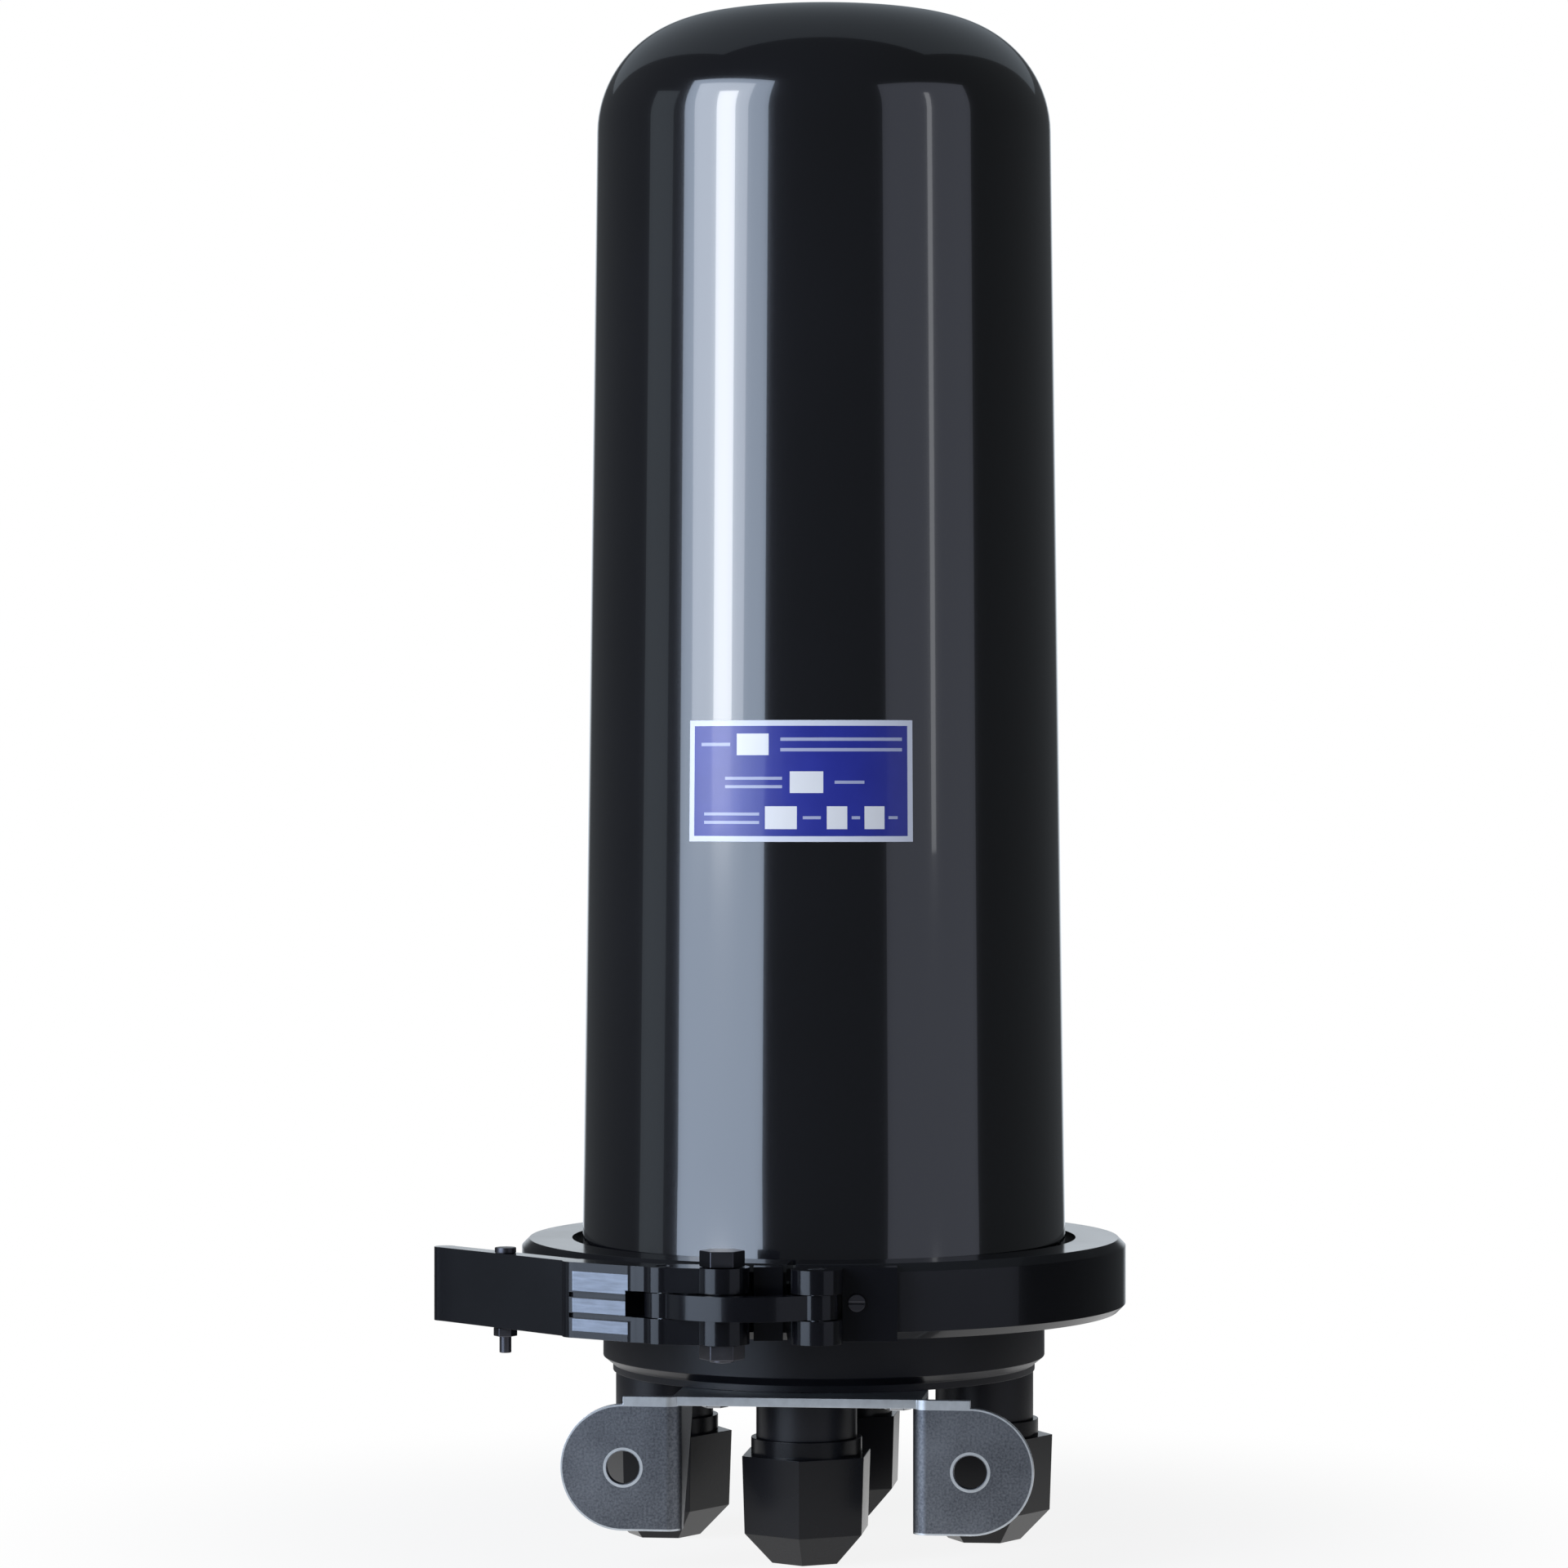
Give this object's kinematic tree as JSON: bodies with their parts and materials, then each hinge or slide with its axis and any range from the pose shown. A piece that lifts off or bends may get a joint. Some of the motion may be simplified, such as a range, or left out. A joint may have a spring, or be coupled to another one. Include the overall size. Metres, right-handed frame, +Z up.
{
  "type": "dome splice closure",
  "caption": "Tall black dome closure over a ported base, held by a hinged V-clamp with an over-centre lever, with sealed cable glands and a folded steel fixing bracket.",
  "frame": {"origin": "midway between the two fixing holes of the bracket, on the outer face of its ears", "axes": "+Z up along the dome, -Y out of the fixing face of the ears, +X to the right seen from that side"},
  "size_m": [0.233, 0.2496, 0.5292],
  "materials": {
    "dome_black": "polished moulded black plastic",
    "label_blue": "blue printed film with a pale border",
    "base_black": "moulded black plastic, satin",
    "clamp_black": "glass-filled black plastic, semi-gloss",
    "nut_black": "moulded black plastic, semi-gloss",
    "rubber_black": "silicone rubber",
    "stainless": "stainless steel",
    "dark_steel": "blackened steel",
    "bracket_steel": "galvanised steel sheet",
    "pale_plastic": "off-white moulded plastic",
    "clear_plastic": "clear plastic",
    "strap_black": "hook-and-loop strap"
  },
  "bodies": {
    "root": {"dome": "dome_black", "label": "label_blue", "base": "base_black", "seal_ring": "rubber_black", "clamp_half_fixed": "clamp_black", "clamp_hinge_pin": "stainless", "fulcrum_bolt": "dark_steel", "fulcrum_nut": "dark_steel", "bracket": "bracket_steel", "bracket_bolts": "stainless", "port_seal_front": "rubber_black", "port_seal_right": "rubber_black", "port_seal_rear": "rubber_black", "port_seal_left": "rubber_black", "blanking_plug_front": "nut_black", "blanking_plug_right": "nut_black", "blanking_plug_rear": "nut_black", "blanking_plug_left": "nut_black", "carrier": "stainless", "carrier_screws": "stainless", "tray_hinge_block": "pale_plastic", "splice_tray_1": "pale_plastic", "splice_tray_2": "pale_plastic", "splice_tray_3": "pale_plastic", "splice_tray_4": "pale_plastic", "splice_holders": "pale_plastic", "tray_pins": "stainless", "tray_cover": "clear_plastic", "tray_strap": "strap_black", "fibre_basket": "pale_plastic", "cable_clamps": "stainless", "cable_clamp_screws": "stainless"},
    "lever": {"lever": "clamp_black", "lever_pin": "stainless", "lock_screw": "dark_steel"},
    "link": {"link": "clamp_black"},
    "clamp_half": {"clamp_half_hinged": "clamp_black", "catch_pin": "stainless", "lug_screw": "dark_steel"},
    "gland_seat_front": {"thrust_ring_front": "pale_plastic"},
    "gland_nut_front": {"gland_nut_front": "nut_black"},
    "gland_seat_right": {"thrust_ring_right": "pale_plastic"},
    "gland_nut_right": {"gland_nut_right": "nut_black"},
    "gland_seat_rear": {"thrust_ring_rear": "pale_plastic"},
    "gland_nut_rear": {"gland_nut_rear": "nut_black"},
    "gland_seat_left": {"thrust_ring_left": "pale_plastic"},
    "gland_nut_left": {"gland_nut_left": "nut_black"}
  },
  "joints": [
    {"name": "lever_swing", "type": "hinge", "parent": "root", "child": "lever", "pos_m": [-0.02131, -0.02586, 0.057], "axis": [0, 0, 1], "range_deg": [0, 90]},
    {"name": "link_swing", "type": "hinge", "parent": "lever", "child": "link", "pos_m": [-0.0407, -0.02407, 0.057], "axis": [0, 0, 1], "range_deg": [-117, 0]},
    {"name": "clamp_opening", "type": "hinge", "parent": "root", "child": "clamp_half", "pos_m": [-0.01181, 0.20138, 0.057], "axis": [0, 0, 1], "range_deg": [0, 9.5]},
    {"name": "gland_advance_front", "type": "slide", "parent": "root", "child": "gland_seat_front", "axis": [0, 0, -1], "range_m": [0, 0.015]},
    {"name": "gland_turn_front", "type": "hinge", "parent": "gland_seat_front", "child": "gland_nut_front", "pos_m": [0, 0.033, 0.057], "axis": [0, 0, 1], "range_deg": [-1805, 0]},
    {"name": "gland_advance_right", "type": "slide", "parent": "root", "child": "gland_seat_right", "axis": [0, 0, -1], "range_m": [0, 0.015]},
    {"name": "gland_turn_right", "type": "hinge", "parent": "gland_seat_right", "child": "gland_nut_right", "pos_m": [0.056, 0.089, 0.057], "axis": [0, 0, 1], "range_deg": [-1805, 0]},
    {"name": "gland_advance_rear", "type": "slide", "parent": "root", "child": "gland_seat_rear", "axis": [0, 0, -1], "range_m": [0, 0.015]},
    {"name": "gland_turn_rear", "type": "hinge", "parent": "gland_seat_rear", "child": "gland_nut_rear", "pos_m": [0, 0.145, 0.057], "axis": [0, 0, 1], "range_deg": [-1805, 0]},
    {"name": "gland_advance_left", "type": "slide", "parent": "root", "child": "gland_seat_left", "axis": [0, 0, -1], "range_m": [0, 0.015]},
    {"name": "gland_turn_left", "type": "hinge", "parent": "gland_seat_left", "child": "gland_nut_left", "pos_m": [-0.056, 0.089, 0.057], "axis": [0, 0, 1], "range_deg": [-1805, 0]}
  ],
  "couplings": [
    {"joint": "link_swing", "follows": "lever_swing", "ratio": -1.25},
    {"joint": "clamp_opening", "follows": "lever_swing", "ratio": 0.1},
    {"joint": "gland_turn_front", "follows": "gland_advance_front", "rad_per_m": -2094.4},
    {"joint": "gland_turn_right", "follows": "gland_advance_right", "rad_per_m": -2094.4},
    {"joint": "gland_turn_rear", "follows": "gland_advance_rear", "rad_per_m": -2094.4},
    {"joint": "gland_turn_left", "follows": "gland_advance_left", "rad_per_m": -2094.4}
  ]
}
